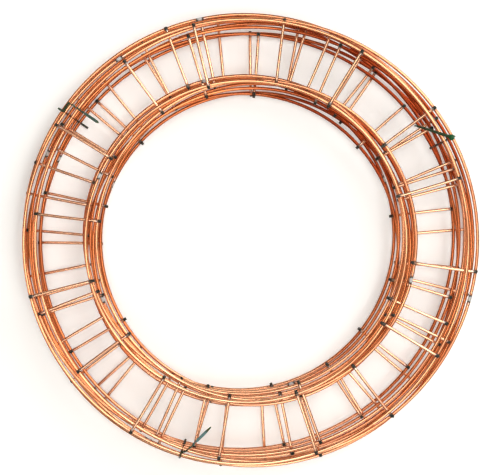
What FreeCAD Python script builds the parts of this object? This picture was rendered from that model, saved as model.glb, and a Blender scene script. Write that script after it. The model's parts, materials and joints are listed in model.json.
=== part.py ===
import FreeCAD, Part
import math
import os

# A tied bundle of flat wire wreath frames, lying on a table as it is sold.
# Each frame is an outer and an inner wire hoop with eight straight rungs welded across their upper side.
# The frames lie loose on one another, and three twist ties go round all the outer hoops.
# The origin is on the table, at the bundle's axis. +X is to the right, +Y away from the viewer, +Z up.
# Lengths are in millimetres and angles in degrees.

doc = FreeCAD.newDocument("wreath_frame_bundle")
sheet = doc.addObject("Spreadsheet::Sheet", "Sizes")

# One frame and the bundle.
SIZES = {
    "outer_hoop_radius": 151.2,
    "inner_hoop_radius": 109.2,
    "hoop_wire": 2.3,
    "rung_wire": 2.0,
    "rung_outer_end": 1.2,
    "rung_inner_end": 2.8,
    "weld_set_down": 0.4,
    "butt_weld_swell": 0.12,
    "butt_weld_length": 2.4,
    "frame_gap": 0.3,
    "tie_width": 2.0,
    "tie_thickness": 0.9,
    "tie_core_wire": 0.5,
    "tie_gap": 0.3,
    "tie_foot": 10.0,
    "knot_seat": 0.2,
}

# The frames, lowest first: how far each has slid to the right and away from the bundle's axis,
# where its outer and its inner hoop is butt welded, and where its rungs cross the middle of the band.
# These angles are about the bundle's axis, counter-clockwise from +X.
FRAMES = [
    (2, -5, 157, 158, (2.5, 53, 90, 138, 181, 224, 274, 319)),
    (-8, 3.5, 20, 24, (9, 55, 99, 141, 189, 227, 279, 321)),
    (-5.5, -6.5, 289, 255, (41, 88, 133, 178, 218.5, 262, 307, 352)),
    (4.5, 0, 71, 71, (33, 77, 120, 167, 212, 255, 303, 346)),
    (-6, 3.5, 195, 286, (32, 75.5, 119, 168, 208, 254.5, 302, 344)),
    (-1.5, 0.5, 157, 80, (15, 59, 103, 148.5, 195, 240, 281, 331)),
    (1, -4.5, 243, 202, (21, 65, 107, 155, 200, 246, 288, 332.5)),
    (-4, 3.5, 103, 106, (19.5, 69, 112, 160, 199, 244, 289, 337)),
    (4, 0, 345, 346, (35.5, 81, 125, 173, 217.5, 262, 309, 352)),
    (-3, -1, 126, 157, (16.5, 59.5, 105, 149.5, 194.5, 238, 287, 328)),
]

# The ties: the angle of the loop, how far its knot starts outward of the top frame's outer hoop, the
# knot's radius, then a length and its turn away from the outward direction for the knot, for the long
# tail at its far end and for the short tail at its near end, and how steeply both tails rise.
TIES = [
    (27.0, 5.5, 2.0, 0.5, 136.0, 26.8, 136.0, 3.0, 20.0, 10.0),
    (145.5, 1.0, 1.3, 7.1, -90.0, 24.4, 180.0, 4.0, 2.0, 2.0),
    (252.0, -1.5, 1.2, 7.0, 125.0, 20.4, 157.0, 2.8, -5.0, 2.0),
]
TIE_ALIASES = (
    "tie_angle", "knot_past_hoop", "knot_radius", "knot_run", "knot_turn",
    "long_tail", "long_tail_turn", "short_tail", "short_tail_turn", "tail_rise",
)


def size(name):
    return "Sizes." + name


def fill_sheet():
    """One row for each size: its name, and its value in a cell that has the name as its alias."""
    rows = dict(SIZES)
    for number, (slid_x, slid_y, outer_weld, inner_weld, rungs) in enumerate(FRAMES, 1):
        rows[f"slid_x_{number:02d}"] = slid_x
        rows[f"slid_y_{number:02d}"] = slid_y
        rows[f"outer_weld_{number:02d}"] = outer_weld
        rows[f"inner_weld_{number:02d}"] = inner_weld
        for place, angle in enumerate(rungs, 1):
            rows[f"rung_{number:02d}_at_{place}"] = angle
    for number, measures in enumerate(TIES, 1):
        for alias, measure in zip(TIE_ALIASES, measures):
            rows[f"{alias}_{number}"] = measure
    for line, (name, value) in enumerate(rows.items(), 1):
        sheet.set(f"A{line}", name)
        sheet.set(f"B{line}", str(value))
        sheet.setAlias(f"B{line}", name)
    doc.recompute()


def put(piece, at_x, at_y, at_z, yaw="0", pitch="0", roll="0"):
    """Bind a piece's place and turn to sizes in the sheet."""
    spot = f"vector({at_x}; {at_y}; {at_z})"
    piece.setExpression("Placement", f"placement({spot}; rotation({yaw}; {pitch}; {roll}))")


def add(kind, name, **bindings):
    """A new object whose named properties follow expressions."""
    piece = doc.addObject(kind, name)
    for key, text in bindings.items():
        piece.setExpression(key, text)
    return piece


# Heights of the stack, as expressions. A frame is a hoop's thickness plus a rung's, less the set-down
# of the welds, and the lowest one lies clear of the ties' strands on the table.
PITCH = f"({size('hoop_wire')} + {size('rung_wire')} - {size('weld_set_down')} + {size('frame_gap')})"
LOWEST = f"({size('tie_thickness')} + {size('tie_gap')} + {size('hoop_wire')} / 2)"


def hoop_height(number):
    return f"({LOWEST} + {number - 1} * {PITCH})"


def own_angle(number, radius, seen):
    """The angle about a frame's own centre of what lies at this angle about the bundle's axis."""
    slid_x = size(f"slid_x_{number:02d}")
    slid_y = size(f"slid_y_{number:02d}")
    return f"atan2({radius} * sin({seen}) - {slid_y}; {radius} * cos({seen}) - {slid_x})"


def hoop(number, which):
    """A ring of round wire with a short collar where its two ends are butt welded."""
    radius = size(f"{which}_hoop_radius")
    angle = own_angle(number, radius, size(f"{which}_weld_{number:02d}"))
    half = f"{size('butt_weld_length')} / 2"
    tag = f"{which}_{number:02d}"
    ring = add("Part::Torus", f"ring_{tag}", Radius1=radius, Radius2=f"{size('hoop_wire')} / 2")
    collar = add(
        "Part::Cylinder",
        f"collar_{tag}",
        Radius=f"{size('hoop_wire')} / 2 + {size('butt_weld_swell')}",
        Height=size("butt_weld_length"),
    )
    put(
        collar,
        f"{radius} * cos({angle}) + {half} * sin({angle})",
        f"{radius} * sin({angle}) - {half} * cos({angle})",
        "0",
        yaw=angle,
        roll="-90",
    )
    whole = doc.addObject("Part::Fuse", f"hoop_{tag}")
    whole.Base = ring
    whole.Tool = collar
    whole.Label = f"frame_{number:02d}_{which}_hoop"
    put(whole, size(f"slid_x_{number:02d}"), size(f"slid_y_{number:02d}"), hoop_height(number))
    return whole


def rungs(number):
    """Eight cut lengths of wire that all point at their own frame's centre."""
    middle = f"({size('outer_hoop_radius')} + {size('inner_hoop_radius')}) / 2"
    start = f"({size('inner_hoop_radius')} - {size('rung_inner_end')})"
    length = f"{size('outer_hoop_radius')} + {size('rung_outer_end')} - {start}"
    above = f"{size('hoop_wire')} / 2 + {size('rung_wire')} / 2 - {size('weld_set_down')}"
    bars = []
    for place in range(1, len(FRAMES[number - 1][4]) + 1):
        own = own_angle(number, middle, size(f"rung_{number:02d}_at_{place}"))
        bar = add(
            "Part::Cylinder",
            f"rung_{number:02d}_{place}",
            Radius=f"{size('rung_wire')} / 2",
            Height=length,
        )
        put(bar, f"{start} * cos({own})", f"{start} * sin({own})", above, yaw=own, pitch="90")
        bars.append(bar)
    group = doc.addObject("Part::Compound", f"rungs_{number:02d}")
    group.Links = bars
    group.Label = f"frame_{number:02d}_rungs"
    put(group, size(f"slid_x_{number:02d}"), size(f"slid_y_{number:02d}"), hoop_height(number))
    return group


def value(name):
    """A size as the sheet holds it."""
    return float(sheet.get(name))


def hoop_sections(angle):
    """Where the outer hoops' wires cross a tie's radial plane: distance from the axis, and height."""
    pitch = value("hoop_wire") + value("rung_wire") - value("weld_set_down") + value("frame_gap")
    height = value("tie_thickness") + value("tie_gap") + value("hoop_wire") / 2
    across = math.radians(angle)
    spots = []
    for frame in range(1, len(FRAMES) + 1):
        slid_x = value(f"slid_x_{frame:02d}")
        slid_y = value(f"slid_y_{frame:02d}")
        along = slid_x * math.cos(across) + slid_y * math.sin(across)
        aside = slid_y * math.cos(across) - slid_x * math.sin(across)
        spots.append((along + math.sqrt(value("outer_hoop_radius") ** 2 - aside ** 2), height))
        height += pitch
    return spots


def wrapped(spots):
    """The outermost of the given spots, in order: the corners that a tight strip goes round."""
    chains = []
    for ordered in (sorted(spots), sorted(spots, reverse=True)):
        chain = []
        for spot in ordered:
            while len(chain) > 1 and not turns_left(chain[-2], chain[-1], spot):
                chain.pop()
            chain.append(spot)
        chains.append(chain[:-1])
    return chains[0] + chains[1]


def turns_left(first, second, third):
    """True where the way turns left by an area of more than a rounding error."""
    rounding = 1e-6
    run = (second[0] - first[0], second[1] - first[1])
    next_run = (third[0] - second[0], third[1] - second[1])
    return run[0] * next_run[1] - run[1] * next_run[0] > rounding


def outline(corners, distance):
    """A closed line round the corners at the given distance, with an arc at each corner."""
    points = [FreeCAD.Vector(out, 0, up) for out, up in corners]
    line = Part.makePolygon(points + points[:1])
    return line.makeOffset2D(distance, 0)


def round_wire(start, end, radius):
    """A straight length of round wire."""
    run = end - start
    return Part.makeCylinder(radius, run.Length, start, run)


def round_bar(length, radius):
    """A bar along X with a hemisphere past each of its two ends, as one turned solid."""
    slant = radius * math.sqrt(0.5)
    near = Part.Arc(
        FreeCAD.Vector(-radius, 0, 0), FreeCAD.Vector(-slant, 0, slant), FreeCAD.Vector(0, 0, radius))
    side = Part.LineSegment(FreeCAD.Vector(0, 0, radius), FreeCAD.Vector(length, 0, radius))
    far = Part.Arc(
        FreeCAD.Vector(length, 0, radius),
        FreeCAD.Vector(length + slant, 0, slant),
        FreeCAD.Vector(length + radius, 0, 0),
    )
    axis = Part.LineSegment(FreeCAD.Vector(length + radius, 0, 0), FreeCAD.Vector(-radius, 0, 0))
    profile = Part.Wire([line.toShape() for line in (near, side, far, axis)])
    return Part.Face(profile).revolve(FreeCAD.Vector(0, 0, 0), FreeCAD.Vector(1, 0, 0), 360)


def wire_along(path, radius):
    """Round wire along a closed line of straight runs and arcs that touch smoothly."""
    lengths = []
    for edge in path.Edges:
        start = edge.valueAt(edge.FirstParameter)
        section = Part.Wire(Part.makeCircle(radius, start, edge.tangentAt(edge.FirstParameter)))
        lengths.append(Part.Wire(edge).makePipeShell([section], True, True))
    return lengths[0].fuse(lengths[1:]).removeSplitter()


def flat_tail(start, length, turned, rise, width, thick):
    """A straight end of the strip, from one end of the knot."""
    tail = Part.makeBox(length, width, thick, FreeCAD.Vector(0, -width / 2, -thick / 2))
    tail.Placement = FreeCAD.Placement(start, FreeCAD.Rotation(turned, -rise, 0))
    return tail


def tie(number):
    """A plastic strip with a wire inside it: a loop tight round the outer hoops, a knot and two tails."""
    thick = value("tie_thickness")
    width = value("tie_width")
    core_radius = value("tie_core_wire") / 2
    clear = value("hoop_wire") / 2 + value("tie_gap")
    rise = value(f"tail_rise_{number}")

    # Under the lowest hoop the strip lies flat on the table for the length of its foot.
    sections = hoop_sections(value(f"tie_angle_{number}"))
    low_out, low_up = sections[0]
    half_foot = value("tie_foot") / 2
    foot = [(low_out - half_foot, low_up), (low_out + half_foot, low_up)]
    corners = wrapped(sections + foot)
    inside = Part.Face(outline(corners, clear))
    outside = Part.Face(outline(corners, clear + thick))
    middle = outline(corners, clear + thick / 2)
    strip = outside.cut(inside)
    strip.translate(FreeCAD.Vector(0, -width / 2, 0))
    loop = strip.extrude(FreeCAD.Vector(0, width, 0))

    # The knot starts on the strip where a plumb line at its distance first meets it.
    knot_out = sections[-1][0] + value(f"knot_past_hoop_{number}")
    above = FreeCAD.Vector(knot_out, 0, 2 * sections[-1][1])
    plumb = Part.makeLine(above, FreeCAD.Vector(knot_out, 0, 0))
    meets = plumb.distToShape(middle)[1]
    seat = max((pair[0] for pair in meets), key=lambda point: point.z)
    knot_radius = value(f"knot_radius_{number}")
    near = seat + FreeCAD.Vector(0, 0, knot_radius + value("knot_seat"))
    knot_run = value(f"knot_run_{number}")
    knot_way = FreeCAD.Rotation(value(f"knot_turn_{number}"), 0, 0)
    far = near + knot_way.multVec(FreeCAD.Vector(knot_run, 0, 0))
    knot = round_bar(knot_run, knot_radius)
    knot.Placement = FreeCAD.Placement(near, knot_way)
    covers = [knot]
    cores = [round_wire(seat, near, core_radius), round_wire(near, far, core_radius)]
    for word, start in (("long", far), ("short", near)):
        length = value(f"{word}_tail_{number}")
        turned = value(f"{word}_tail_turn_{number}")
        covers.append(flat_tail(start, length, turned, rise, width, thick))
        ahead = FreeCAD.Rotation(turned, -rise, 0).multVec(FreeCAD.Vector(length, 0, 0))
        cores.append(round_wire(start, start + ahead, core_radius))
    core_shape = wire_along(middle, core_radius).fuse(cores)
    cover_shape = loop.fuse(covers).cut(core_shape)
    if cover_shape.Volume < loop.Volume - core_shape.Volume:
        raise RuntimeError(f"tie {number} has lost a part of its cover")

    pieces = []
    for word, shape in (("cover", cover_shape), ("core_wire", core_shape)):
        piece = doc.addObject("Part::Feature", f"{word}_{number}")
        piece.Shape = shape.Solids[0] if len(shape.Solids) == 1 else shape
        piece.Label = f"tie_{number}_{word}"
        spin = FreeCAD.Rotation(value(f"tie_angle_{number}"), 0, 0)
        piece.Placement = FreeCAD.Placement(FreeCAD.Vector(0, 0, 0), spin)
        pieces.append(piece)
    return pieces


def check(pieces):
    """Stop if any object failed, or a piece is empty or not valid."""
    for item in doc.Objects:
        if "Invalid" in item.State or "Error" in item.State:
            raise RuntimeError(f"{item.Name} failed: {item.State}")
    for piece in pieces:
        if piece.Shape.isNull() or not piece.Shape.isValid():
            raise RuntimeError(f"{piece.Label} has no valid shape")


def write(pieces):
    os.makedirs("parts", exist_ok=True)
    for piece in pieces:
        piece.Shape.exportStep(f"parts/{piece.Label}.step")


fill_sheet()
nodes = []
for frame_number in range(1, len(FRAMES) + 1):
    nodes.append(hoop(frame_number, "outer"))
    nodes.append(hoop(frame_number, "inner"))
    nodes.append(rungs(frame_number))
for tie_number in range(1, len(TIES) + 1):
    nodes.extend(tie(tie_number))
doc.recompute()
check(nodes)
write(nodes)
print(len(nodes), "nodes,", sum(len(node.Shape.Solids) for node in nodes), "solids")
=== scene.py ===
import json
import math
import random

import bmesh
import bpy
from bpy.props import FloatProperty, FloatVectorProperty, IntProperty, PointerProperty
from mathutils import Matrix, Vector
from mathutils.geometry import convex_hull_2d


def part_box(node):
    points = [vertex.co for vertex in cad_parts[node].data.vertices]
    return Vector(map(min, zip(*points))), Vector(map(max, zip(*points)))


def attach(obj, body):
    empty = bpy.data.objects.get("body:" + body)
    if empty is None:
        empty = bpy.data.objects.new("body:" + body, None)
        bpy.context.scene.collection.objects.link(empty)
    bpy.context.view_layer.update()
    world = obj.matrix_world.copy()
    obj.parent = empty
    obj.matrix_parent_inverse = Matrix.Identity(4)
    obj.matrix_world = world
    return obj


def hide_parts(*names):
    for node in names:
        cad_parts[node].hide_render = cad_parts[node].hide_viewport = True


# A tied pack of flat wreath frames in copper-coated wire: for each frame an outer and an inner hoop with
# eight rungs welded over them, and three green twist ties round all the outer hoops.
# Lengths are in metres. The pack lies on the floor plane, its axis on +Z.

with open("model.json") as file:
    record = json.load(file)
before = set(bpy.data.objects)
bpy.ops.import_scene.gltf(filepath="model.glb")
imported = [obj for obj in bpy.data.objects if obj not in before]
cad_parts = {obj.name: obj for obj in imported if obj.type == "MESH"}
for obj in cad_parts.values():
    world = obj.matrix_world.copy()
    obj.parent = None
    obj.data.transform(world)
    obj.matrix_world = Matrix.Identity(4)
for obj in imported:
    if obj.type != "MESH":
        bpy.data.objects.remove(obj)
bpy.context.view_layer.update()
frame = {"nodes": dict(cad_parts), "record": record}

bl_info = {
    "name": "Wreath Frame Pack",
    "version": (1, 0, 0),
    "blender": (4, 5, 0),
    "location": "View3D > Sidebar > Wreath Frames",
    "description": "Models a tied pack of copper wire wreath frames round its measured parts",
    "category": "Add Mesh",
}

MM = 0.001
FRAME_NUMBERS = range(1, 11)
BOTTOM_BODY = "bottom_frame_and_ties"

# Rungs differ in the slant of their ends, a share of the end cut, and in their bow in millimetres.
RUNG_SHAPES = ((1, 0.2), (-0.6, -0.25), (0.5, 0.1))
# Weld lumps differ in their stretch along the rung and in the grain of their surface in millimetres.
LUMP_SHAPES = ((1.05, 0.9), (1.3, 1.3), (0.85, 1.7), (1.15, 2.1))
# The size of a lump at the weakest and at the strongest weld, over the outer and over the inner hoop.
OUTER_LUMPS = (0.55, 0.95)
INNER_LUMPS = (0.45, 0.55)
# A weld's height over the middle of its hoop, as a share of the hoop's wire.
WELD_LEVEL = 0.42
LUMP_RISE = 1.1 * MM
LUMP_STRAY = 0.5 * MM

# The ends of each tie, in millimetres and degrees; turns are seen from above and count from outward.
# past and over: where the knot starts, outward of the top frame's outer hoop and above the loop there.
# run and turn: the line from there that the knot lies on. knot: the share of it that the knot takes up.
# long and short: the tails at the end and at the start of that line. rise: how steeply both go up.
# flat and taper: how much of the long tail is flat at its tip, and how much of that grows narrower.
# twists: the turns of the long tail and of the knot. ball: the radius of the knot that is wound up, or 0.
# tones: of the knot, of the twisted tail and of the tip, where 0 is darkest; the low tones are painted shade
# and the high ones painted sheen, as in TONES.
TIE_ENDS = {
    1: {"past": 5.5, "over": 2.2, "run": 0.5, "turn": 136.0, "knot": 1.0, "long": 26.8, "long_turn": 136.0,
        "short": 1.2, "short_turn": 20.0, "rise": 9.0, "flat": 0.0, "taper": 0.0, "twists": (4.5, 0.2),
        "ball": 1.85, "tones": (0.30, 0.13, 0.05)},
    2: {"past": 1.0, "over": 1.5, "run": 7.1, "turn": -90.0, "knot": 1.0, "long": 24.4, "long_turn": 180.0,
        "short": 4.0, "short_turn": 2.0, "rise": 2.0, "flat": 10.9, "taper": 1.5, "twists": (3.0, 3.0),
        "ball": 0.0, "tones": (0.08, 0.66, 0.85)},
    3: {"past": -1.5, "over": 1.4, "run": 7.0, "turn": 125.0, "knot": 0.55, "long": 20.4, "long_turn": 157.0,
        "short": 2.8, "short_turn": -5.0, "rise": 2.0, "flat": 13.4, "taper": 5.0, "twists": (1.5, 3.0),
        "ball": 0.0, "tones": (0.05, 0.62, 1.0)},
}
# The width of the strip in the knot, round the hoops and on top of them, as a share of its full width.
KNOT_WIDTH = 0.8
LOOP_WIDTH = 0.78
TOP_WIDTH = 0.5
TAIL_LIFT = 0.35 * MM
CORE_POKE = 0.4 * MM

# The colours of the ties' plastic by tone. Tone 0 is painted shade, for the strip where it lies between the
# wires; the plain green is at 0.30, and the olive and grey-green tones above it are painted sheen, for the
# loose tails where they catch the light.
TONES = (
    (0.0, (0.028, 0.024, 0.012)),
    (0.30, (0.008, 0.085, 0.022)),
    (0.62, (0.085, 0.078, 0.024)),
    (0.85, (0.040, 0.078, 0.056)),
    (1.0, (0.100, 0.190, 0.180)),
)

# How much tarnish shows in patches, along the die lines and in specks, and how much rougher it is.
PATCH_TARNISH, LINE_TARNISH, SPECK_TARNISH = 0.35, 0.08, 0.4
TARNISH_ROUGHNESS = 0.08
# Painted shade: a dark red tint of the copper's reflection toward the wire's edges.
EDGE_SHADE_TINT = (0.40, 0.12, 0.05, 1)

# Where the softboxes stand.
KEY_PLACE = (0.19, 0.02, 1.57)
SIDE_PLACE = (0.93, 0.87, 0.98)
LEFT_PLACE = (-1.08, -0.39, 1.12)
FRONT_PLACE = (0.28, -1.03, 1.19)


# Kinds of settings.


def colour_setting(name, description, default):
    return FloatVectorProperty(
        name=name, description=description, default=default, subtype="COLOR", size=3, min=0, max=1)


def length_setting(name, description, default):
    return FloatProperty(name=name, description=description, default=default, unit="LENGTH")


def angle_setting(name, description, degrees):
    return FloatProperty(
        name=name, description=description, default=math.radians(degrees), subtype="ANGLE")


class WireSizes(bpy.types.PropertyGroup):
    ring_segments: IntProperty(
        name="Hoop segments", description="Segments round one hoop", default=360, min=64)
    wire_sides: IntProperty(
        name="Wire sides", description="Sides of the round wire", default=16, min=8)
    upset: length_setting(
        "Butt weld upset", "How far the wire stands out all round a butt weld", 0.12 * MM)
    upset_reach: length_setting(
        "Upset reach", "How far the swelling runs along the wire from a butt weld", 1.6 * MM)
    waviness: length_setting("Waviness", "How far a hoop strays from a true circle", 0.17 * MM)
    end_cut: angle_setting("End cut", "Slant of a rung's sheared ends", 14)
    pinch: FloatProperty(
        name="Weld pinch", description="Share by which the electrodes flatten a rung at a hoop",
        default=0.1, min=0, max=0.3)
    nugget: length_setting("Weld nugget", "Half the width of the lump at a strong outer weld", 1.2 * MM)


class CopperLook(bpy.types.PropertyGroup):
    copper: colour_setting("Copper", "Colour of the copper coat", (0.88, 0.31, 0.115))
    tarnish: colour_setting("Tarnish", "Colour of the coat where it has aged", (0.27, 0.04, 0.010))
    # Painted shade: the aged coat is a dark colour laid on the lower frames and on one side of the pack,
    # where their wires lie in shade.
    aged: colour_setting(
        "Aged coat", "Colour of the lower frames' coat where the pack has aged most", (0.27, 0.04, 0.009))
    # Painted light: the fresh coat is a pale colour laid on the rungs, the top frames and one side of the
    # pack, where their wires catch the light.
    lit_coat: colour_setting(
        "Fresh coat", "Colour of the coat where the pack has aged least", (0.96, 0.55, 0.33))
    # The sides of the pack that get the painted shade and the painted light.
    shaded_side: angle_setting("Aged side", "Direction of the side that has aged most", 47)
    lit_side: angle_setting("Fresh side", "Direction of the side that has aged least", 264)
    heat_tint: colour_setting("Heat tint", "Colour of the coat beside a weld", (0.20, 0.065, 0.035))
    scale_dark: colour_setting(
        "Weld scale, dark", "Colour of the burnt scale on a weld", (0.012, 0.015, 0.011))
    scale_pale: colour_setting(
        "Weld scale, pale", "Colour of the thin grey-green scale on a weld", (0.095, 0.10, 0.085))
    bare_steel: colour_setting(
        "Bare steel", "Colour of the steel where the coat is gone", (0.80, 0.78, 0.74))
    roughness: FloatProperty(
        name="Roughness", description="Roughness of the bright wire",
        default=0.25, min=0.02, max=1)


class TieLook(bpy.types.PropertyGroup):
    strip_width: length_setting("Strip width", "Width of the plastic strip", 2.0 * MM)
    web: length_setting("Web thickness", "Thickness of the strip beside its wire", 0.3 * MM)
    rib: length_setting("Rib", "Thickness of the strip over its wire", 0.8 * MM)
    room: length_setting(
        "Room", "Distance from the hoops' wire to the middle of the strip round them", 0.75 * MM)
    core: length_setting("Core wire", "Diameter of the wire inside the strip", 0.5 * MM)
    edge_up: angle_setting("Edge up", "How far the strip has rolled onto its edge over the hoops", 80)
    roughness: FloatProperty(
        name="Roughness", description="Roughness of the plastic", default=0.3, min=0.02, max=1)


class StageLook(bpy.types.PropertyGroup):
    camera_height: length_setting("Camera height", "Height of the camera over the floor", 0.947)
    camera_x: length_setting("Camera to the right", "Offset of the camera from the pack's axis", -0.0003)
    camera_y: length_setting("Camera away", "Offset of the camera from the pack's axis", 0.0017)
    lens: FloatProperty(
        name="Lens", description="Focal length in millimetres", default=96.0, min=10)
    floor: colour_setting("Floor", "Colour of the floor", (0.93, 0.92, 0.88))
    floor_lift: FloatProperty(
        name="Floor lift", description="Light added to the floor where the camera or a reflection sees it",
        default=0.22, min=0, max=1)
    key_power: FloatProperty(
        name="Key light", description="Power of the softbox over the pack in watts", default=13.0, min=0)
    key_size: length_setting("Key size", "Width and depth of the softbox over the pack", 1.0)
    side_power: FloatProperty(
        name="Side light", description="Power of the softbox at the far right in watts", default=14.0, min=0)
    front_power: FloatProperty(
        name="Front light", description="Power of the softbox on the near side in watts", default=7.0, min=0)
    fill_power: FloatProperty(
        name="Fill light", description="Power of the weak softbox on the left in watts", default=4.0, min=0)
    side_size: length_setting("Side size", "Width and depth of the three lower softboxes", 0.9)
    room_lift: FloatProperty(
        name="Room lift",
        description="Light of the room near the horizon where the camera or a reflection sees it",
        default=0.8, min=0, max=1)
    world: FloatProperty(
        name="Room light", description="Strength of the pale room round the pack", default=0.04, min=0)


# Selecting and placing.


def look(name):
    """One of the add-on's groups of settings."""
    return getattr(bpy.context.scene, "wreath_" + name)


def deselect():
    if bpy.context.mode != "OBJECT":
        bpy.ops.object.mode_set(mode="OBJECT")
    bpy.ops.object.select_all(action="DESELECT")


def activate(*pieces):
    deselect()
    for piece in pieces:
        piece.select_set(True)
    bpy.context.view_layer.objects.active = pieces[0]


def pick(piece, kind, test):
    """In edit mode, select just the points (VERT) or edges (EDGE) whose ends pass the test."""
    bpy.ops.mesh.select_mode(type=kind)
    bpy.ops.mesh.select_all(action="DESELECT")
    mesh = bmesh.from_edit_mesh(piece.data)
    for part in mesh.verts if kind == "VERT" else mesh.edges:
        ends = [part] if kind == "VERT" else part.verts
        part.select = test(*(end.co for end in ends))
    mesh.select_flush_mode()
    bmesh.update_edit_mesh(piece.data)


def copy_of(template, name, place):
    """A copy with its own mesh, moved in its mesh, so that the object stays at the origin."""
    piece = template.copy()
    piece.data = template.data.copy()
    piece.name = piece.data.name = name
    bpy.context.scene.collection.objects.link(piece)
    piece.data.transform(place)
    return piece


def joined(name, pieces):
    """The pieces as one piece of this name."""
    activate(*pieces)
    bpy.ops.object.join()
    whole = bpy.context.object
    whole.name = whole.data.name = name
    return whole


def remove(*pieces):
    for piece in pieces:
        bpy.data.objects.remove(piece)


def crumple(piece, strength, grain, direction="NORMAL"):
    """Shift the surface by a soft random amount, as a modifier that is then applied."""
    texture = bpy.data.textures.new("crumple", "CLOUDS")
    texture.noise_scale = grain
    texture.noise_depth = 2
    activate(piece)
    shift = piece.modifiers.new("crumple", "DISPLACE")
    shift.texture = texture
    shift.texture_coords = "LOCAL"
    shift.direction = direction
    shift.strength = strength
    shift.mid_level = 0.5
    bpy.ops.object.modifier_apply(modifier=shift.name)


# What the measured parts say.


def wrap(angle):
    """The same angle, from minus to plus half a turn."""
    return (angle + math.pi) % (2 * math.pi) - math.pi


def hoop_facts(number, which):
    """Centre, radius and wire thickness of a hoop, and the angle of its butt weld."""
    node = f"frame_{number:02d}_{which}_hoop"
    low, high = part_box(node)
    centre = (low + high) / 2
    points = [vert.co - centre for vert in frame["nodes"][node].data.vertices]
    top = max(point.z for point in points)
    collar = [point for point in points if point.z > top - 0.01 * MM]
    middle = sum(collar, Vector()) / len(collar)
    weld = math.atan2(middle.y, middle.x)
    plain = [point for point in points if point.dot(middle) < 0]
    wire = max(point.z for point in plain) - min(point.z for point in plain)
    radius = max(point.xy.length for point in plain) - wire / 2
    return centre, radius, wire, weld


def rung_facts(number):
    """Thickness and height of a frame's rungs, and for each its angle and its two ends' distances."""
    node = f"frame_{number:02d}_rungs"
    low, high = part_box(node)
    centre = hoop_facts(number, "outer")[0]
    points = [vert.co - centre for vert in frame["nodes"][node].data.vertices]
    points.sort(key=lambda point: math.atan2(point.y, point.x))
    apart = math.radians(8)
    groups = [[points[0]]]
    for point in points[1:]:
        before = groups[-1][-1]
        if abs(wrap(math.atan2(point.y, point.x) - math.atan2(before.y, before.x))) > apart:
            groups.append([])
        groups[-1].append(point)
    if groups[0][0].xy.angle(groups[-1][-1].xy) < apart:
        groups[0] += groups.pop()
    bars = []
    for group in groups:
        middle = sum((point.xy for point in group), Vector((0, 0))) / len(group)
        ahead = middle.normalized()
        along = [point.xy.dot(ahead) for point in group]
        bars.append((math.atan2(middle.y, middle.x), min(along), max(along)))
    return high.z - low.z, (high.z + low.z) / 2, bars


def tie_angle(number):
    """The direction of a tie's upright plane."""
    for mount in frame["record"]["mounts"]:
        if mount["name"] == f"rest_strand_{number}":
            return math.atan2(mount["pos_m"][1], mount["pos_m"][0])
    raise RuntimeError(f"the record has no strand under tie {number}")


def body_of(number):
    return BOTTOM_BODY if number == 1 else f"frame_{number:02d}"


def burn_strengths(number, count):
    """How strongly the welds of each of a frame's rungs are burnt: few of them fully, many hardly."""
    dice = random.Random(10 * number + 5)
    return [0.12 + 0.88 * dice.random() ** 1.4 for _ in range(count)]


# Coordinates that run with the wire, for the materials.


def write_wire(piece, places, distances):
    """For each face corner its place along and across the wire, and how far from the welds it is."""
    for name, values in (("wire_place", places), ("weld_distance", distances)):
        layer = piece.data.attributes.new(name, "FLOAT_VECTOR", "CORNER")
        layer.data.foreach_set("vector", [number for value in values for number in value])


def mark_hoop(piece, centre, radius, butt_weld, welds, strengths):
    """A hoop's distances are those from the nearest rung weld and from the butt weld, with the strength."""
    places, distances = [], []
    mesh = piece.data
    for face in mesh.polygons:
        at = face.center - centre
        angle = math.atan2(at.y, at.x)
        gaps = [abs(wrap(angle - weld)) for weld in welds]
        nearest = gaps.index(min(gaps))
        turned = wrap(angle - butt_weld)
        for index in face.vertices:
            point = mesh.vertices[index].co - centre
            here = math.atan2(point.y, point.x)
            along = radius * (turned + wrap(here - angle))
            places.append((along, point.xy.length - radius, point.z))
            distances.append((radius * wrap(here - welds[nearest]), along, strengths[nearest]))
    write_wire(piece, places, distances)


def mark_rung(piece, length, crossings, offset, strength):
    """A rung's distances are those from the nearest weld and from the nearest cut end, with the strength."""
    places, distances = [], []
    mesh = piece.data
    for face in mesh.polygons:
        nearest = min(crossings, key=lambda at: abs(face.center.x - at))
        for index in face.vertices:
            point = mesh.vertices[index].co
            places.append((point.x + offset, point.y, point.z))
            distances.append((point.x - nearest, min(abs(point.x), abs(length - point.x)), strength))
    write_wire(piece, places, distances)


def mark_nugget(piece, strength):
    """A lump holds just the strength of its weld."""
    corners = len(piece.data.loops)
    write_wire(piece, [(0, 0, 0)] * corners, [(0, 0, strength)] * corners)


# Hoops.


def model_hoop(radius, wire):
    """One hoop at the origin with its butt weld on +X."""
    sizes = look("sizes")
    deselect()
    bpy.ops.mesh.primitive_torus_add(
        major_radius=radius, minor_radius=wire / 2,
        major_segments=sizes.ring_segments, minor_segments=sizes.wire_sides)
    hoop = bpy.context.object
    step = 2 * math.pi * radius / sizes.ring_segments
    reach = 3 * sizes.upset_reach

    bpy.ops.object.mode_set(mode="EDIT")
    pick(hoop, "EDGE", lambda a, b: min(a.x, b.x) > 0 and max(abs(a.y), abs(b.y)) < reach
         and abs(a.y - b.y) > step / 2)
    bpy.ops.mesh.subdivide(number_cuts=7)
    pick(hoop, "VERT", lambda point: point.x > 0 and abs(point.y) < step / 10)
    thicker = 1 + sizes.upset / wire * 2
    bpy.ops.transform.resize(
        value=(thicker, 1, thicker), center_override=(radius, 0, 0), use_proportional_edit=True,
        proportional_edit_falloff="SMOOTH", proportional_size=sizes.upset_reach)
    bpy.ops.object.mode_set(mode="OBJECT")

    crumple(hoop, sizes.waviness, 50 * MM, "X")
    crumple(hoop, sizes.waviness, 43 * MM, "Y")
    bpy.ops.object.shade_smooth()
    return hoop


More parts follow.
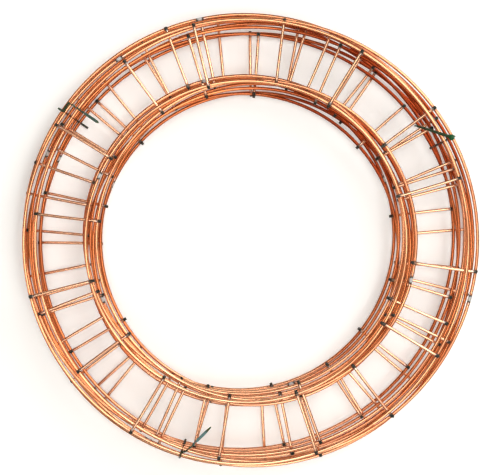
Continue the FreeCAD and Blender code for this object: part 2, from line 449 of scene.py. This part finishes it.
class WREATH_OT_hoops(bpy.types.Operator):
    """Model the outer and inner hoops of every frame from drawn wire"""

    bl_idname = "wreath.hoops"
    bl_label = "Hoops"

    def execute(self, context):
        coats = {number: copper_wire(number, "hoop") for number in FRAME_NUMBERS}
        for which in ("outer", "inner"):
            template = model_hoop(*hoop_facts(1, which)[1:3])
            for number in FRAME_NUMBERS:
                centre, radius, _, weld = hoop_facts(number, which)
                turn = Matrix.Translation(centre) @ Matrix.Rotation(weld, 4, "Z")
                hoop = copy_of(template, f"{which}_hoop_wire_{number:02d}", turn)
                welds = [angle for angle, start, end in rung_facts(number)[2]]
                mark_hoop(hoop, centre, radius, weld, welds, burn_strengths(number, len(welds)))
                hoop.data.materials.append(coats[number])
                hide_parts(f"frame_{number:02d}_{which}_hoop")
                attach(hoop, body_of(number))
            remove(template)
        return {"FINISHED"}


# Rungs and weld nuggets.


def model_rung(length, wire, crossings, cut, bow):
    """One rung from the origin along +X, with slanted ends, pinched where it crosses a hoop."""
    sizes = look("sizes")
    deselect()
    bpy.ops.mesh.primitive_cylinder_add(
        vertices=sizes.wire_sides, radius=wire / 2, depth=length,
        location=(length / 2, 0, 0), rotation=(0, math.pi / 2, 0))
    rung = bpy.context.object
    bpy.ops.object.transform_apply(location=True, rotation=True)

    bpy.ops.object.mode_set(mode="EDIT")
    pick(rung, "EDGE", lambda a, b: abs(a.x - b.x) > length / 2)
    spans = 56
    bpy.ops.mesh.subdivide(number_cuts=spans - 1)
    step = length / spans
    for at in crossings:
        pick(rung, "VERT", lambda point: abs(point.x - at) < step * 0.6)
        bpy.ops.transform.resize(
            value=(1, 1 + sizes.pinch, 1 - sizes.pinch), center_override=(at, 0, -wire / 2),
            use_proportional_edit=True, proportional_edit_falloff="SMOOTH",
            proportional_size=2 * MM)
    pick(rung, "VERT", lambda point: abs(point.x - length / 2) < step * 0.6)
    bpy.ops.transform.translate(
        value=(0, bow, 0), use_proportional_edit=True, proportional_edit_falloff="SPHERE",
        proportional_size=length / 2.4)
    for end, slant in ((0, cut), (length, -cut)):
        pick(rung, "VERT", lambda point: abs(point.x - end) < step / 4)
        bpy.ops.transform.rotate(
            value=slant, orient_axis="Y", orient_type="GLOBAL", center_override=(end, 0, 0))
        pick(rung, "EDGE", lambda a, b: max(abs(a.x - end), abs(b.x - end)) < wire / 4)
        bpy.ops.mesh.bevel(offset=0.1 * wire, segments=2, affect="EDGES")
    bpy.ops.object.mode_set(mode="OBJECT")
    bpy.ops.object.shade_smooth_by_angle(angle=math.radians(50))
    return rung


def model_nugget(half, stretch, grain, roll):
    """A lump of squeezed-out metal round the origin, stretched along X, with its own uneven surface."""
    deselect()
    bpy.ops.mesh.primitive_ico_sphere_add(subdivisions=3, radius=1)
    lump = bpy.context.object
    bpy.ops.object.mode_set(mode="EDIT")
    bpy.ops.mesh.select_all(action="SELECT")
    bpy.ops.transform.rotate(
        value=roll, orient_axis="Z", orient_type="GLOBAL", center_override=(0, 0, 0))
    bpy.ops.transform.resize(value=(stretch * half, half, half), center_override=(0, 0, 0))
    bpy.ops.object.mode_set(mode="OBJECT")
    crumple(lump, 0.4 * half, grain)
    bpy.ops.object.shade_smooth()
    return lump


class WREATH_OT_rungs(bpy.types.Operator):
    """Model the rungs of every frame with their welds"""

    bl_idname = "wreath.rungs"
    bl_label = "Rungs"

    def execute(self, context):
        sizes = look("sizes")
        dice = random.Random(80)
        radius_out, hoop_wire = hoop_facts(1, "outer")[1:3]
        radius_in = hoop_facts(1, "inner")[1]
        wire, _, bars = rung_facts(1)
        start, end = bars[0][1:]
        crossings = (radius_in - start, radius_out - start)
        shapes = [
            model_rung(end - start, wire, crossings, cut * sizes.end_cut, bow * MM)
            for cut, bow in RUNG_SHAPES
        ]
        lumps = [model_nugget(sizes.nugget, stretch, grain * MM, grain) for stretch, grain in LUMP_SHAPES]
        burnt = burnt_weld()
        for number in FRAME_NUMBERS:
            centre = hoop_facts(number, "outer")[0]
            _, level, bars = rung_facts(number)
            coat = copper_wire(number, "rung")
            made = []
            for place, strength in enumerate(burn_strengths(number, len(bars))):
                angle, start, end = bars[place]
                turn = Matrix.Translation((centre.x, centre.y, 0)) @ Matrix.Rotation(angle, 4, "Z")
                rung = copy_of(dice.choice(shapes), f"rung_{number}_{place}", Matrix())
                mark_rung(rung, end - start, crossings, dice.random(), strength)
                rung.data.materials.append(coat)
                rung.data.transform(turn @ Matrix.Translation((start, 0, level)))
                made.append(rung)
                for away, (least, most) in ((radius_out, OUTER_LUMPS), (radius_in, INNER_LUMPS)):
                    aside = dice.uniform(-LUMP_STRAY, LUMP_STRAY)
                    up = centre.z + WELD_LEVEL * hoop_wire + LUMP_RISE * strength * most
                    spot = turn @ Matrix.Translation((away + aside, 0.7 * aside, up))
                    size = Matrix.Scale(least + (most - least) * strength, 4)
                    nugget = copy_of(dice.choice(lumps), f"nugget_{number}_{place}", spot @ size)
                    mark_nugget(nugget, strength)
                    nugget.data.materials.append(burnt)
                    made.append(nugget)
            whole = joined(f"rung_wires_{number:02d}", made)
            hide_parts(f"frame_{number:02d}_rungs")
            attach(whole, body_of(number))
        remove(*shapes, *lumps)
        return {"FINISHED"}


# Twist ties.


def sweep(name, stations, outline, poke):
    """A solid whose outline, pairs of across and up, is carried along the stations, and pokes out first."""
    points, sides, scales, tones = zip(*stations)
    points = [points[0] + (points[0] - points[1]).normalized() * poke, *points[1:]]
    mesh = bmesh.new()
    rings = []
    for place, (point, side, scale) in enumerate(zip(points, sides, scales)):
        ahead = points[min(place + 1, len(points) - 1)] - points[max(place - 1, 0)]
        up = side.cross(ahead).normalized()
        across = ahead.cross(up).normalized()
        rings.append([mesh.verts.new(point + (across * x + up * y) * scale) for x, y in outline])
    for first, second in zip(rings, rings[1:]):
        for corner in range(len(outline)):
            mesh.faces.new((first[corner - 1], first[corner], second[corner], second[corner - 1]))
    mesh.faces.new(rings[0])
    mesh.faces.new(rings[-1])
    bmesh.ops.recalc_face_normals(mesh, faces=mesh.faces)
    data = bpy.data.meshes.new(name)
    mesh.to_mesh(data)
    mesh.free()
    layer = data.attributes.new("tone", "FLOAT", "POINT")
    layer.data.foreach_set("value", [tone for tone in tones for _ in outline])
    piece = bpy.data.objects.new(name, data)
    bpy.context.scene.collection.objects.link(piece)
    return piece


def loop_round(angle, clear):
    """The line of a strip pulled tight round the outer hoops, in (out, up) pairs, and how far out the top
    hoop lies. Under the bottom hoop the line has a flat foot."""
    ahead = Vector((math.cos(angle), math.sin(angle)))
    sections = []
    for number in FRAME_NUMBERS:
        centre, radius = hoop_facts(number, "outer")[:2]
        aside = centre.xy.cross(ahead)
        sections.append(Vector((centre.xy.dot(ahead) + math.sqrt(radius ** 2 - aside ** 2), centre.z)))
    foot = Vector((5 * MM, 0))
    rounds = []
    for spot in sections + [sections[0] - foot, sections[0] + foot]:
        for turn in range(24):
            way = math.radians(15 * turn)
            rounds.append(spot + clear * Vector((math.cos(way), math.sin(way))))
    return [rounds[place] for place in convex_hull_2d(rounds)], sections[-1].x


def resampled(points, step):
    """A closed line's points, about one step apart."""
    made = []
    for first, second in zip(points, points[1:] + points[:1]):
        count = max(1, round((second - first).length / step))
        made += [first.lerp(second, place / count) for place in range(count)]
    return made


def highest_at(line, out):
    """The highest point of a closed line at this distance out."""
    spots = []
    for first, second in zip(line, line[1:] + line[:1]):
        if min(first.x, second.x) <= out < max(first.x, second.x):
            spots.append(first.lerp(second, (out - first.x) / (second.x - first.x)))
    return max(spots, key=lambda spot: spot.y)


def leg(start, end, rolls, arms, scales, tones, lift=0.0):
    """Stations of a strip on its way from start to end; its roll, arm, scale and tone run evenly."""
    way = end - start
    ahead = way.normalized()
    count = max(4, round(way.length / (0.45 * MM)))
    flat = ahead.cross(Vector((0, 0, 1))).normalized()
    over = flat.cross(ahead)
    stations = []
    for step in range(count):
        share = step / count
        roll, arm, scale, tone = (a + (b - a) * share for a, b in (rolls, arms, scales, tones))
        turn = Matrix.Rotation(roll, 3, ahead)
        point = start + way * share + turn @ over * arm
        point.z += lift * math.sin(math.pi * share)
        stations.append((point, turn @ flat, scale, tone))
    return stations


def loop_stations(line, out, normal, roll):
    """Stations of the strip once round the hoops, rolled onto its edge where it lies on top of them."""
    edge_up = look("ties").edge_up
    stations = []
    for place, point in enumerate(line):
        ahead = line[(place + 1) % len(line)] - line[place - 1]
        ahead = (out * ahead.x + Vector((0, 0, ahead.y))).normalized()
        on_top = max(0.0, min(1.0, 4 * normal.cross(ahead).z))
        wobble = 0.12 * math.sin(0.9 * place)
        turn = Matrix.Rotation(roll + edge_up * on_top + wobble, 3, ahead)
        width = LOOP_WIDTH + (TOP_WIDTH - LOOP_WIDTH) * on_top
        # The loop takes tone 0, painted shade, as the strip lies between the wires.
        stations.append((out * point.x + Vector((0, 0, point.y)), turn @ normal, width, 0.0))
    return stations


def ball_stations(middle, radius, tone):
    """Stations of a strip wound into a ball."""
    stations = []
    steps = 144
    for step in range(steps + 1):
        share = step / steps
        polar = math.radians(12 + 156 * share)
        around = 2 * math.pi * 4.5 * share
        wide = math.sin(polar)
        arm = Vector((wide * math.cos(around), math.cos(polar), wide * math.sin(around)))
        stations.append((middle + arm * radius, Vector((0, 1, 0)) - arm * arm.y, 0.85, tone))
    return stations


def tie_strands(number):
    """The strands of a tie: from the long tail through the knot and round the hoops, then the other end."""
    ends = TIE_ENDS[number]
    angle = tie_angle(number)
    out = Vector((math.cos(angle), math.sin(angle), 0))
    normal = Vector((-math.sin(angle), math.cos(angle), 0))
    outline, top_hoop = loop_round(angle, hoop_facts(1, "outer")[2] / 2 + look("ties").room)
    seat = highest_at(outline, top_hoop + ends["past"] * MM)

    # The loop starts under the knot and runs inward first.
    line = resampled(outline, 1.0 * MM)
    first = min(range(len(line)), key=lambda place: (line[place] - seat).length)
    line = line[first:] + line[:first]
    if line[1].x > line[0].x:
        line = line[:1] + line[:0:-1]

    def way(turned, rise):
        turned, rise = math.radians(turned), math.radians(rise)
        flat = out * math.cos(turned) + normal * math.sin(turned)
        return flat * math.cos(rise) + Vector((0, 0, math.sin(rise)))

    near = out * seat.x + Vector((0, 0, seat.y + ends["over"] * MM))
    run = way(ends["turn"], 0) * ends["run"] * MM
    tip = near + run + way(ends["long_turn"], ends["rise"]) * ends["long"] * MM
    far = near + run * ends["knot"]
    long_way = (tip - far).normalized()
    bend = tip - long_way * ends["flat"] * MM
    short_tip = near + way(ends["short_turn"], ends["rise"]) * ends["short"] * MM
    knot_tone, twist_tone, tip_tone = ends["tones"]
    tail_turn, knot_turn = (2 * math.pi * turns for turns in ends["twists"])
    roped = ends["flat"] == 0
    thick = 0.7 * MM if roped else 0.5 * MM
    thin = 0.36 * MM if roped else 0.12 * MM
    in_knot = {"arms": (thick, thick), "scales": (KNOT_WIDTH, KNOT_WIDTH), "tones": (knot_tone, knot_tone)}

    strand = []
    if not roped:
        cut = tip - long_way * ends["taper"] * MM
        strand += leg(tip, cut, (0.9, 0.2), (0, 0), (0.55, 1.0), (0.15, tip_tone))
        strand += leg(cut, bend, (0.2, 0.25), (0, 0), (1.0, 1.0), (tip_tone, tip_tone))
    strand += leg(
        bend, far, (0.25, tail_turn), (thin, thick), (0.75, 1.1) if roped else (0.95, 0.6),
        (tip_tone, twist_tone), TAIL_LIFT)
    strand += leg(far, near, (tail_turn, tail_turn + knot_turn), **in_knot)
    half_turns = round((tail_turn + knot_turn) / math.pi) * math.pi
    strand += loop_stations(line, out, normal, half_turns)

    # The other end lies opposite the first one in the knot, and in the tail of a tie that is all rope.
    start = math.pi - (tail_turn + knot_turn)
    other = leg(short_tip, near, (start - 0.8, start), **in_knot | {"arms": (0, 0.7 * thick)})
    other += leg(near, far, (start, start + knot_turn), **in_knot)
    if roped:
        other += leg(
            far, tip - long_way * 0.8 * MM, (start + knot_turn, start + knot_turn + tail_turn - 0.25),
            (thick, thin), (1.1, 0.75), (twist_tone, tip_tone), TAIL_LIFT)
    strands = [strand, other]
    if ends["ball"]:
        strands.append(ball_stations((near + far) / 2, ends["ball"] * MM, knot_tone))
    return strands


def strip_outline(ties):
    """The strip's section: a flat web that bulges into a rib over its wire."""
    half, web, rib = ties.strip_width / 2, ties.web / 2, ties.rib / 2
    quarter = [(half, 0.6 * web), (0.96 * half, web), (0.5 * half, web), (0.32 * half, 0.8 * rib), (0, rib)]
    top = quarter + [(-x, y) for x, y in quarter[-2::-1]]
    return top + [(x, -y) for x, y in top[::-1]]


def core_outline(ties):
    """The section of the strip's wire."""
    corners = [math.radians(45 * corner) for corner in range(8)]
    return [(ties.core / 2 * math.cos(turn), ties.core / 2 * math.sin(turn)) for turn in corners]


class WREATH_OT_ties(bpy.types.Operator):
    """Model the green twist ties and the wire inside them"""

    bl_idname = "wreath.ties"
    bl_label = "Twist ties"

    def execute(self, context):
        ties = look("ties")
        kinds = (
            ("tie_strip", "cover", "tie_plastic", strip_outline(ties), 0.0, 45, green_strip()),
            ("tie_wire", "core_wire", "tie_wire", core_outline(ties), CORE_POKE, 60, tie_steel()),
        )
        for number in TIE_ENDS:
            strands = tie_strands(number)
            for name, node_name, slot, outline, poke, sharp, material in kinds:
                whole = joined(f"{name}_{number}", [
                    sweep(f"{name}_{number}_{count}", stations, outline, poke)
                    for count, stations in enumerate(strands)])
                bpy.ops.object.shade_smooth_by_angle(angle=math.radians(sharp))
                whole.data.materials.append(material)
                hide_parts(f"tie_{number}_{node_name}")
                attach(whole, BOTTOM_BODY)
        return {"FINISHED"}


# Shader nodes.


def feed(tree, sockets, values):
    """Links or sets each of these sockets."""
    for socket, value in values.items():
        if isinstance(value, bpy.types.NodeSocket):
            tree.links.new(value, sockets[socket])
        else:
            sockets[socket].default_value = value


def node(tree, kind, inputs=None, **settings):
    """A new node with its settings, and its inputs linked or set."""
    made = tree.nodes.new(kind)
    for key, value in settings.items():
        setattr(made, key, value)
    feed(tree, made.inputs, inputs or {})
    return made


def group_tree(name, inputs, outputs):
    """A shader node group with these sockets, each a label and a kind, and its input and output."""
    tree = bpy.data.node_groups.new(name, "ShaderNodeTree")
    for direction, sockets in (("INPUT", inputs), ("OUTPUT", outputs)):
        for label, kind in sockets.items():
            tree.interface.new_socket(label, in_out=direction, socket_type="NodeSocket" + kind)
    return tree, tree.nodes.new("NodeGroupInput").outputs, tree.nodes.new("NodeGroupOutput").inputs


def placed(tree, group, inputs):
    """A group placed in a material, with its own values."""
    return node(tree, "ShaderNodeGroup", inputs, node_tree=group).outputs


def maths(tree, operation, *values):
    """One step of arithmetic on numbers."""
    return node(tree, "ShaderNodeMath", dict(enumerate(values)), operation=operation).outputs[0]


def vector_maths(tree, operation, *values):
    """One step of arithmetic on vectors."""
    made = node(tree, "ShaderNodeVectorMath", dict(enumerate(values)), operation=operation)
    return made.outputs["Value" if operation == "DOT_PRODUCT" else "Vector"]


def mix_colour(tree, factor, first, second):
    return node(tree, "ShaderNodeMix", {0: factor, 6: first, 7: second}, data_type="RGBA").outputs[2]


def ramp(tree, value, low, high, to_low=0.0, to_high=1.0, smooth=True):
    """The value mapped from one range to another and clamped."""
    return node(
        tree, "ShaderNodeMapRange",
        {"Value": value, "From Min": low, "From Max": high, "To Min": to_low, "To Max": to_high},
        interpolation_type="SMOOTHSTEP" if smooth else "LINEAR").outputs["Result"]


def noise(tree, vector, stretch, detail=2.0):
    """Noise on a vector that is first stretched along its three axes."""
    scaled = vector_maths(tree, "MULTIPLY", vector, stretch)
    return node(tree, "ShaderNodeTexNoise", {"Vector": scaled, "Scale": 1.0, "Detail": detail}).outputs[0]


def swing(tree, value, reach):
    """Noise, which lies round one half, as a swing round zero."""
    return maths(tree, "MULTIPLY", maths(tree, "SUBTRACT", value, 0.5), reach)


def bump(tree, height, strength, depth):
    """The normal of a surface with this height."""
    inputs = {"Height": height, "Strength": strength, "Distance": depth}
    return node(tree, "ShaderNodeBump", inputs).outputs[0]


def object_place(tree):
    return node(tree, "ShaderNodeTexCoord").outputs["Object"]


def attribute(tree, name, output="Vector"):
    return node(tree, "ShaderNodeAttribute", attribute_name=name).outputs[output]


def drawn_wire_group():
    """Tone, roughness and die lines of drawn, copper-coated wire."""
    name = "drawn wire"
    if name in bpy.data.node_groups:
        return bpy.data.node_groups[name]
    tree, given, result = group_tree(
        name,
        {"Place": "Vector", "Seed": "Float", "Copper": "Color", "Tarnish": "Color", "Roughness": "Float"},
        {"Color": "Color", "Roughness": "Float", "Height": "Float"})
    shift = node(tree, "ShaderNodeCombineXYZ", {0: given["Seed"]}).outputs[0]
    at = vector_maths(tree, "ADD", given["Place"], shift)
    patches = ramp(tree, noise(tree, at, (26, 260, 260)), 0.42, 0.68)
    lines = ramp(tree, noise(tree, at, (45, 4200, 4200)), 0.42, 0.66)
    specks = ramp(tree, noise(tree, at, (700, 1400, 1400), 1), 0.70, 0.78)
    patches = maths(tree, "MULTIPLY", patches, PATCH_TARNISH)
    aged = maths(tree, "ADD", patches, maths(tree, "MULTIPLY", lines, LINE_TARNISH))
    aged = maths(tree, "MAXIMUM", aged, maths(tree, "MULTIPLY", specks, SPECK_TARNISH))
    rougher = maths(tree, "MULTIPLY", aged, TARNISH_ROUGHNESS)
    feed(tree, result, {
        "Color": mix_colour(tree, aged, given["Copper"], given["Tarnish"]),
        "Roughness": maths(tree, "ADD", rougher, given["Roughness"]),
        "Height": noise(tree, at, (30, 6500, 6500))})
    return tree


def side_mask_group():
    """How near a point of the pack is to one side of it, with an uneven edge."""
    name = "side mask"
    if name in bpy.data.node_groups:
        return bpy.data.node_groups[name]
    tree, given, result = group_tree(
        name, {"Place": "Vector", "Side": "Vector", "Wide": "Float"}, {"Mask": "Float"})
    level = vector_maths(tree, "MULTIPLY", given["Place"], (1, 1, 0))
    near = vector_maths(tree, "DOT_PRODUCT", vector_maths(tree, "NORMALIZE", level), given["Side"])
    uneven = swing(tree, noise(tree, given["Place"], (40, 40, 200)), 0.3)
    feed(tree, result, {"Mask": ramp(tree, maths(tree, "ADD", near, uneven), given["Wide"], 0.98)})
    return tree


def weld_burn_group():
    """Masks of the burnt core of a weld and of the tinted wire beside it."""
    name = "weld burn"
    if name in bpy.data.node_groups:
        return bpy.data.node_groups[name]
    tree, given, result = group_tree(
        name,
        {"Place": "Vector", "Distance": "Float", "Strength": "Float", "Core": "Float", "Halo": "Float"},
        {"Burn": "Float", "Halo": "Float"})
    uneven = swing(tree, noise(tree, given["Place"], (700, 700, 700), 3), 2.0 * MM)
    away = maths(tree, "ADD", maths(tree, "ABSOLUTE", given["Distance"]), uneven)
    core = ramp(tree, maths(tree, "DIVIDE", away, given["Core"]), 1.25, 0.7)
    halo = ramp(tree, maths(tree, "DIVIDE", away, given["Halo"]), 1.0, 0.1)
    feed(tree, result, {
        "Burn": maths(tree, "MULTIPLY", core, given["Strength"]),
        "Halo": maths(tree, "MULTIPLY", halo, given["Strength"])})
    return tree


def scale_group():
    """Mottled colour and height of burnt weld scale."""
    name = "weld scale"
    if name in bpy.data.node_groups:
        return bpy.data.node_groups[name]
    tree, given, result = group_tree(
        name, {"Place": "Vector", "Dark": "Color", "Pale": "Color"}, {"Color": "Color", "Height": "Float"})
    mottle = noise(tree, given["Place"], (1300, 1300, 1300), 4)
    colour = mix_colour(tree, ramp(tree, mottle, 0.42, 0.66), given["Dark"], given["Pale"])
    feed(tree, result, {"Color": colour, "Height": mottle})
    return tree


# Materials.


def rgba(colour):
    return (*colour, 1.0)


def new_material(name):
    material = bpy.data.materials.new(name)
    material.use_nodes = True
    tree = material.node_tree
    return material, tree, tree.nodes["Principled BSDF"]


def light_and_shade_shares(number, kind):
    """Shares of painted shade in a frame's coat on the shaded side and all round, and of painted light all
    round: more shade on the lower frames, more light on the top frames and on the rungs.
    """
    depth = len(FRAME_NUMBERS) - number
    near_top = depth < 3
    on_side = 0.3 + 0.1 * depth if near_top else 1.0
    if kind == "rung":
        return 0.3 * on_side, 0.0, 0.95
    return on_side, max(0.0, min(0.55, 0.09 * (depth - 1))), 0.35 if near_top else 0.0


def weld_scale(tree, place):
    copper = look("copper")
    return placed(tree, scale_group(), {
        "Place": place, "Dark": rgba(copper.scale_dark), "Pale": rgba(copper.scale_pale)})


def copper_wire(number, kind):
    """Copper-coated wire of one frame's hoops or rungs, burnt at its welds, with painted shade and painted
    light in its coat.
    """
    copper = look("copper")
    material, tree, shader = new_material(f"copper_{kind}_{number:02d}")
    place = attribute(tree, "wire_place")
    away = node(tree, "ShaderNodeSeparateXYZ", {0: attribute(tree, "weld_distance")}).outputs

    # Painted shade and painted light: the coat goes darker on one side of the pack and on the lower frames,
    # and paler on another side, on the top frames and on the rungs.
    coat = rgba(copper.copper)
    shaded_side, shade_round, light_round = light_and_shade_shares(number, kind)
    for side, wide, on_side, all_round, colour in (
            (copper.shaded_side, 0.5, shaded_side, shade_round, copper.aged),
            (copper.lit_side, 0.65, 0.75, light_round, copper.lit_coat)):
        mask = placed(tree, side_mask_group(), {
            "Place": object_place(tree), "Side": (math.cos(side), math.sin(side), 0), "Wide": wide})["Mask"]
        share = maths(tree, "MAXIMUM", maths(tree, "MULTIPLY", mask, on_side), all_round)
        coat = mix_colour(tree, share, coat, rgba(colour))
    drawn = placed(tree, drawn_wire_group(), {
        "Place": place, "Seed": 1.7 * number, "Copper": coat,
        "Tarnish": rgba(copper.tarnish), "Roughness": copper.roughness})

    def burn_at(distance, core, halo, strength=1.0):
        return placed(tree, weld_burn_group(), {
            "Place": place, "Distance": distance, "Strength": strength, "Core": core, "Halo": halo})

    rung_burn = burn_at(away[0], 1.2 * MM, 4 * MM, away[2])
    butt_burn = burn_at(away[1], 2.8 * MM, 7 * MM)
    burn = maths(tree, "MAXIMUM", rung_burn["Burn"], butt_burn["Burn"])
    halo = maths(tree, "MAXIMUM", rung_burn["Halo"], butt_burn["Halo"])
    scale = weld_scale(tree, place)
    tinted = mix_colour(tree, maths(tree, "MULTIPLY", halo, 0.6), drawn["Color"], rgba(copper.heat_tint))
    flaked = ramp(tree, noise(tree, place, (500, 900, 900), 1), 0.52, 0.6)
    bare = maths(tree, "MULTIPLY", butt_burn["Halo"], flaked)
    steel = mix_colour(tree, bare, tinted, rgba(copper.bare_steel))
    colour = mix_colour(tree, burn, steel, scale["Color"])
    if kind == "hoop":
        # A butt weld is pale in the middle, where its two ends melted.
        melted = maths(tree, "MULTIPLY", burn_at(away[1], 1.5 * MM, 3 * MM)["Burn"], 0.7)
        colour = mix_colour(tree, melted, colour, rgba(copper.bare_steel))
    die_lines = maths(tree, "MULTIPLY", drawn["Height"], 0.3)
    height = maths(tree, "ADD", die_lines, maths(tree, "MULTIPLY", scale["Height"], burn))
    feed(tree, shader.inputs, {
        "Base Color": colour,
        "Metallic": ramp(tree, burn, 0, 1, 1.0, 0.35, smooth=False),
        "Roughness": maths(tree, "ADD", drawn["Roughness"], maths(tree, "MULTIPLY", burn, 0.3)),
        # Painted shade toward the wire's edges.
        "Specular Tint": EDGE_SHADE_TINT,
        "Coat Weight": 0.06,
        "Coat Roughness": 0.12,
        "Normal": bump(tree, height, 0.06, 0.04 * MM)})
    return material


def burnt_weld():
    """The squeezed-out metal of a weld: copper where it is weak, under grey-black scale where strong."""
    copper = look("copper")
    material, tree, shader = new_material("burnt_weld")
    place = object_place(tree)
    strength = node(tree, "ShaderNodeSeparateXYZ", {0: attribute(tree, "weld_distance")}).outputs[2]
    scale = weld_scale(tree, place)
    covered = ramp(tree, maths(tree, "ADD", strength, noise(tree, place, (900, 900, 900))), 0.75, 1.05)
    feed(tree, shader.inputs, {
        "Base Color": mix_colour(tree, covered, rgba(copper.heat_tint), scale["Color"]),
        "Metallic": ramp(tree, covered, 0, 1, 0.9, 0.2, smooth=False),
        "Roughness": ramp(tree, scale["Height"], 0.3, 0.7, 0.65, 0.4),
        "Specular IOR Level": 0.2,
        "Normal": bump(tree, scale["Height"], 0.8, 0.2 * MM)})
    return material


def green_strip():
    """Soft green plastic, with painted shade where it lies tight round the wires and painted sheen, paler
    and greyer, in its loose ends.
    """
    material, tree, shader = new_material("green_strip")
    tone = attribute(tree, "tone", "Fac")
    creases = noise(tree, object_place(tree), (900, 900, 900), 3)
    shades = node(tree, "ShaderNodeValToRGB", {"Fac": maths(tree, "ADD", tone, swing(tree, creases, 0.16))})
    stops = shades.color_ramp.elements
    while len(stops) < len(TONES):
        stops.new(0.5)
    for stop, (at, colour) in zip(stops, TONES):
        stop.position = at
        stop.color = rgba(colour)
    matt = ramp(tree, tone, 0.0, 0.25, 0.35, 0.0)
    matt = maths(tree, "ADD", matt, ramp(tree, creases, 0.3, 0.7, 0.0, 0.12))
    feed(tree, shader.inputs, {
        "Base Color": shades.outputs["Color"],
        "Roughness": maths(tree, "ADD", matt, look("ties").roughness),
        "Specular IOR Level": 0.25,
        "Normal": bump(tree, creases, 0.5, 0.2 * MM)})
    return material


def tie_steel():
    """Plain annealed steel wire."""
    material, tree, shader = new_material("tie_steel")
    mottle = noise(tree, object_place(tree), (1500, 1500, 1500))
    feed(tree, shader.inputs, {
        "Base Color": mix_colour(tree, mottle, (0.30, 0.29, 0.28, 1), (0.62, 0.61, 0.60, 1)),
        "Metallic": 1.0,
        "Roughness": 0.4})
    return material


def shown(tree):
    """1 where the camera sees something, directly or in a reflection or through glass."""
    seen = node(tree, "ShaderNodeLightPath").outputs
    mirrored = maths(tree, "MAXIMUM", seen["Is Glossy Ray"], seen["Is Transmission Ray"])
    return maths(tree, "MAXIMUM", seen["Is Camera Ray"], mirrored)


def white_floor():
    """A pale matt floor, white to the camera and in reflections where nothing shades it."""
    material, tree, shader = new_material("white_floor")
    stage = look("stage")
    grain = noise(tree, object_place(tree), (900, 900, 900))
    darker = [0.98 * part for part in stage.floor]
    feed(tree, shader.inputs, {
        "Base Color": mix_colour(tree, grain, rgba(stage.floor), rgba(darker)),
        "Roughness": 0.9,
        "Specular IOR Level": 0.1})
    lift = node(tree, "ShaderNodeEmission", {
        "Color": (1, 0.985, 0.93, 1), "Strength": maths(tree, "MULTIPLY", shown(tree), stage.floor_lift)})
    both = node(tree, "ShaderNodeAddShader", {0: shader.outputs[0], 1: lift.outputs[0]})
    feed(tree, tree.nodes["Material Output"].inputs, {"Surface": both.outputs[0]})
    return material


# Floor, light and camera.


def softbox(name, at, size, power):
    """A square area light that faces the middle of the pack."""
    light = bpy.data.lights.new(name, "AREA")
    light.size = size
    light.energy = power
    lamp = bpy.data.objects.new(name, light)
    lamp.location = at
    lamp.rotation_euler = (-Vector(at)).to_track_quat("-Z", "Y").to_euler()
    bpy.context.scene.collection.objects.link(lamp)


def pale_room(stage):
    """A weak even light, with a bright horizon for the camera and for reflections."""
    world = bpy.data.worlds.new("room")
    world.use_nodes = True
    tree = world.node_tree
    towards = node(tree, "ShaderNodeTexCoord").outputs["Generated"]
    height = node(tree, "ShaderNodeSeparateXYZ", {0: towards}).outputs[2]
    horizon = ramp(tree, height, 0.24, 0.10, 0.0, stage.room_lift)
    feed(tree, tree.nodes["Background"].inputs, {
        "Color": (1, 0.985, 0.965, 1),
        "Strength": maths(tree, "ADD", maths(tree, "MULTIPLY", shown(tree), horizon), stage.world)})
    return world


class WREATH_OT_stage(bpy.types.Operator):
    """Set up the pale floor, the soft light and the camera above the pack"""

    bl_idname = "wreath.stage"
    bl_label = "Floor, light and camera"

    def execute(self, context):
        stage = look("stage")
        scene = context.scene
        deselect()
        bpy.ops.mesh.primitive_plane_add(size=16, location=(0, 0, -0.1 * MM))
        floor = bpy.context.object
        floor.name = "floor"
        floor.data.materials.append(white_floor())

        softbox("key", KEY_PLACE, stage.key_size, stage.key_power)
        softbox("side", SIDE_PLACE, stage.side_size, stage.side_power)
        softbox("left_fill", LEFT_PLACE, stage.side_size, stage.fill_power)
        softbox("front", FRONT_PLACE, stage.side_size, stage.front_power)
        scene.world = pale_room(stage)

        camera = bpy.data.cameras.new("camera")
        camera.lens = stage.lens
        camera.sensor_width = 36
        camera.clip_end = 20
        seen_from = bpy.data.objects.new("camera", camera)
        seen_from.location = (stage.camera_x, stage.camera_y, stage.camera_height)
        scene.collection.objects.link(seen_from)
        scene.camera = seen_from
        scene.view_settings.view_transform = "Standard"
        return {"FINISHED"}


class WREATH_PT_pack(bpy.types.Panel):
    """The steps that make the pack, in order"""

    bl_label = "Wreath Frame Pack"
    bl_idname = "WREATH_PT_pack"
    bl_space_type = "VIEW_3D"
    bl_region_type = "UI"
    bl_category = "Wreath Frames"

    def draw(self, context):
        for step in STEPS:
            self.layout.operator(step.bl_idname)
        for name in GROUPS:
            box = self.layout.box()
            settings = look(name)
            for key in settings.__annotations__:
                box.prop(settings, key)


STEPS = (WREATH_OT_hoops, WREATH_OT_rungs, WREATH_OT_ties, WREATH_OT_stage)
GROUPS = {"sizes": WireSizes, "copper": CopperLook, "ties": TieLook, "stage": StageLook}


def register():
    for group in GROUPS.values():
        bpy.utils.register_class(group)
    for name, group in GROUPS.items():
        setattr(bpy.types.Scene, "wreath_" + name, PointerProperty(type=group))
    for step in STEPS:
        bpy.utils.register_class(step)
    bpy.utils.register_class(WREATH_PT_pack)


def unregister():
    bpy.utils.unregister_class(WREATH_PT_pack)
    for step in reversed(STEPS):
        bpy.utils.unregister_class(step)
    for name in GROUPS:
        delattr(bpy.types.Scene, "wreath_" + name)
    for group in reversed(GROUPS.values()):
        bpy.utils.unregister_class(group)


def main():
    register()
    bpy.ops.wreath.hoops()
    bpy.ops.wreath.rungs()
    bpy.ops.wreath.ties()
    bpy.ops.wreath.stage()


if __name__ == "__main__":
    main()
